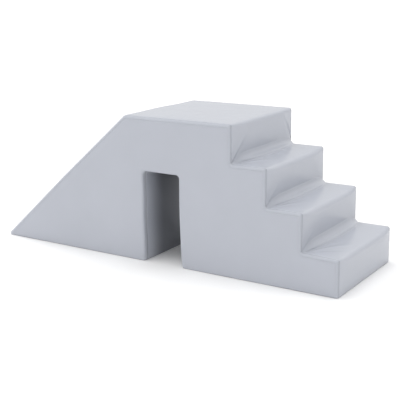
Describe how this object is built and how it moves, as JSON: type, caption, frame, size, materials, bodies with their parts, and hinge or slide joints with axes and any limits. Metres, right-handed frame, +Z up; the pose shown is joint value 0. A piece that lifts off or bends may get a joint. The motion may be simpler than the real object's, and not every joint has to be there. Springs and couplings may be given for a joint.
{
  "type": "dog ramp",
  "caption": "Upholstered foam block for a small dog: a ramp up to a square platform, steps down the other side, and a walk-through tunnel under the platform.",
  "frame": {"origin": "on the floor, at the middle of the base", "axes": "+X from the ramp's toe to the foot of the steps, +Y across the block to its far side, +Z up"},
  "size_m": [1.63, 0.5024, 0.6],
  "materials": {
    "cover": "pale grey coated fabric, fine grain, satin",
    "foam": "open-cell foam, glued in courses",
    "base_cloth": "grey cloth with raised anti-slip dots",
    "zip_tape": "woven zip tape",
    "zip_coil": "nylon coil",
    "zip_metal": "nickel-plated zinc"
  },
  "bodies": {
    "block": {"foam_bottom_ramp_side": "foam", "foam_bottom_stair_side": "foam", "foam_lower_middle_ramp_side": "foam", "foam_lower_middle_stair_side": "foam", "foam_upper_middle": "foam", "foam_platform": "foam", "top_band": "cover", "side_panel_near": "cover", "side_panel_far": "cover", "tunnel_lining": "cover", "ramp_base_near": "base_cloth", "ramp_base_far": "base_cloth", "stair_base_near": "base_cloth", "stair_base_far": "base_cloth", "ramp_zip_tape_near": "zip_tape", "ramp_zip_tape_far": "zip_tape", "stair_zip_tape_near": "zip_tape", "stair_zip_tape_far": "zip_tape", "ramp_zip_coil_near": "zip_coil", "ramp_zip_coil_far": "zip_coil", "stair_zip_coil_near": "zip_coil", "stair_zip_coil_far": "zip_coil", "ramp_zip_stops": "zip_metal", "stair_zip_stops": "zip_metal"},
    "ramp_slider": {"ramp_zip_slider": "zip_metal"},
    "ramp_pull": {"ramp_zip_pull": "zip_metal"},
    "stair_slider": {"stair_zip_slider": "zip_metal"},
    "stair_pull": {"stair_zip_pull": "zip_metal"}
  },
  "joints": [
    {"name": "ramp_zip_slide", "type": "slide", "parent": "block", "child": "ramp_slider", "axis": [-1, 0, 0], "range_m": [0, 0.556]},
    {"name": "ramp_pull_swing", "type": "hinge", "parent": "ramp_slider", "child": "ramp_pull", "pos_m": [-0.132, 0, 0.00355], "axis": [0, -1, 0], "range_deg": [0, 180]},
    {"name": "stair_zip_slide", "type": "slide", "parent": "block", "child": "stair_slider", "axis": [1, 0, 0], "range_m": [0, 0.516]},
    {"name": "stair_pull_swing", "type": "hinge", "parent": "stair_slider", "child": "stair_pull", "pos_m": [0.217, 0, 0.00355], "axis": [0, 1, 0], "range_deg": [0, 180]}
  ]
}
